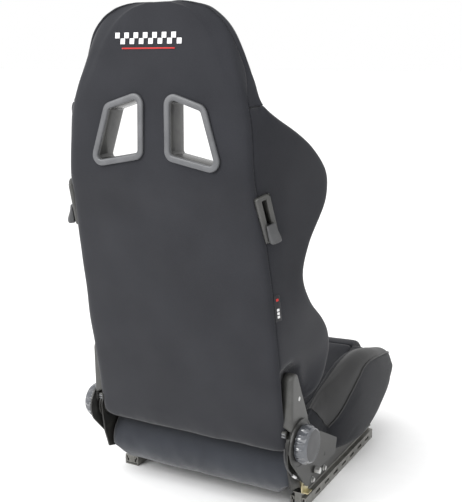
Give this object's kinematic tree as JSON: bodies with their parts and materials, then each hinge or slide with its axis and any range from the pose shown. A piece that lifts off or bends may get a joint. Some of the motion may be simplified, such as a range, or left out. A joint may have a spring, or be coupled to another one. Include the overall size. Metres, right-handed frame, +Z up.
{
  "type": "racing seat",
  "caption": "Reclining bucket sports seat with fabric bolsters, harness openings, recliner knobs, fold levers and sliding rails.",
  "frame": {"origin": "on the floor, midway between the four floor-bolt holes of the lower rails", "axes": "the seat faces -Y, its width is along X with the occupant's left at +X, +Z is up"},
  "size_m": [0.536, 0.6939, 1.0059],
  "materials": {
    "black_steel": "black e-coat",
    "cable_sheath": "black cable sheath",
    "cover_plastic": "smooth semi-matt cover plastic",
    "knit_fabric": "fine knitted upholstery fabric over foam, matt",
    "knob_plastic": "glossy fluted barrel",
    "leatherette": "smooth grained leatherette, satin",
    "moulded_plastic": "fine-grained moulded plastic, satin",
    "woven_tag": "woven label",
    "yellow_zinc": "yellow passivated zinc plate",
    "zinc_steel": "bright zinc plate"
  },
  "bodies": {
    "floor_rails": {"lower_rail_left": "black_steel", "lower_rail_right": "black_steel", "rail_end_stops": "moulded_plastic"},
    "rail_ball_sets": {"rail_balls": "zinc_steel"},
    "adjust_bar": {"adjust_bar": "black_steel", "adjust_bar_grip": "moulded_plastic", "rail_latches": "zinc_steel"},
    "knob_shaft": {"drive_shaft": "zinc_steel", "knob_left": "knob_plastic", "knob_right": "knob_plastic", "knob_caps": "cover_plastic"},
    "hubs": {"hub_gears": "black_steel"},
    "release_lever_left": {"release_lever_left": "moulded_plastic"},
    "release_lever_right": {"release_lever_right": "moulded_plastic"},
    "release_pawl_left": {"release_pawl_left": "zinc_steel"},
    "release_pawl_right": {"release_pawl_right": "zinc_steel"},
    "backrest": {"back_frame_hoop": "black_steel", "back_frame_crossbars": "black_steel", "back_springs": "zinc_steel", "recliner_arm_left": "black_steel", "recliner_arm_right": "black_steel", "arm_cover_left": "cover_plastic", "arm_cover_right": "cover_plastic", "arm_bolts": "zinc_steel", "back_panel": "knit_fabric", "back_center_pad": "knit_fabric", "headrest_pad": "knit_fabric", "hip_bolster_left": "knit_fabric", "hip_bolster_right": "knit_fabric", "shoulder_bolster_left": "knit_fabric", "shoulder_bolster_right": "knit_fabric", "harness_bezels_rear": "moulded_plastic", "harness_sleeves": "moulded_plastic", "lever_housing_left": "moulded_plastic", "lever_housing_right": "moulded_plastic", "seam_tag": "woven_tag"},
    "seat_base": {"upper_rail_left": "black_steel", "upper_rail_right": "black_steel", "frame_side_left": "black_steel", "frame_side_right": "black_steel", "frame_front_tube": "black_steel", "frame_rear_tube": "black_steel", "seat_springs": "zinc_steel", "cushion_center_pad": "knit_fabric", "cushion_nose": "knit_fabric", "cushion_bolster_left": "leatherette", "cushion_bolster_right": "leatherette", "cushion_rear_roll": "knit_fabric", "side_bracket_left": "black_steel", "side_bracket_right": "black_steel", "ring_gears": "black_steel", "bracket_bolts": "zinc_steel", "recliner_cover_left": "cover_plastic", "recliner_cover_right": "cover_plastic", "cover_screws": "black_steel", "spiral_springs": "black_steel", "cable_anchor": "yellow_zinc", "latch_cable": "cable_sheath", "latch_springs": "zinc_steel"}
  },
  "joints": [
    {"name": "seat_slide", "type": "slide", "parent": "floor_rails", "child": "seat_base", "axis": [0, 1, 0], "range_m": [-0.08, 0.08]},
    {"name": "ball_roll", "type": "slide", "parent": "floor_rails", "child": "rail_ball_sets", "axis": [0, 1, 0], "range_m": [-0.0401, 0.0401]},
    {"name": "adjust_bar_lift", "type": "hinge", "parent": "seat_base", "child": "adjust_bar", "pos_m": [0, -0.15, 0.044], "axis": [1, 0, 0], "range_deg": [-8, 0], "stiffness_Nm_per_rad": 8, "springref_deg": 4.58},
    {"name": "recline", "type": "hinge", "parent": "seat_base", "child": "hubs", "pos_m": [0, 0.272, 0.17], "axis": [1, 0, 0], "range_deg": [-50, 5]},
    {"name": "knob_turn", "type": "hinge", "parent": "seat_base", "child": "knob_shaft", "pos_m": [0, 0.272, 0.17], "axis": [1, 0, 0], "range_deg": [-146, 1451]},
    {"name": "fold_forward", "type": "hinge", "parent": "hubs", "child": "backrest", "pos_m": [0, 0.272, 0.17], "axis": [1, 0, 0], "range_deg": [0, 35]},
    {"name": "lever_left_lift", "type": "slide", "parent": "backrest", "child": "release_lever_left", "axis": [-0.0861, 0.3249, 0.9418], "range_m": [0, 0.026], "stiffness_N_per_m": 250, "springref_m": -0.008},
    {"name": "pawl_left_turn", "type": "hinge", "parent": "backrest", "child": "release_pawl_left", "pos_m": [0, 0.25241, 0.22016], "axis": [1, 0, 0], "range_deg": [-12, 0.1]},
    {"name": "lever_right_lift", "type": "slide", "parent": "backrest", "child": "release_lever_right", "axis": [0.0861, 0.3249, 0.9418], "range_m": [0, 0.026], "stiffness_N_per_m": 250, "springref_m": -0.008},
    {"name": "pawl_right_turn", "type": "hinge", "parent": "backrest", "child": "release_pawl_right", "pos_m": [0, 0.25241, 0.22016], "axis": [1, 0, 0], "range_deg": [-12, 0.1]}
  ],
  "couplings": [
    {"joint": "ball_roll", "follows": "seat_slide", "ratio": 0.5},
    {"joint": "knob_turn", "follows": "recline", "ratio": -29},
    {"joint": "pawl_left_turn", "follows": "lever_left_lift", "rad_per_m": -7.9882},
    {"joint": "pawl_right_turn", "follows": "lever_right_lift", "rad_per_m": -7.9882}
  ]
}
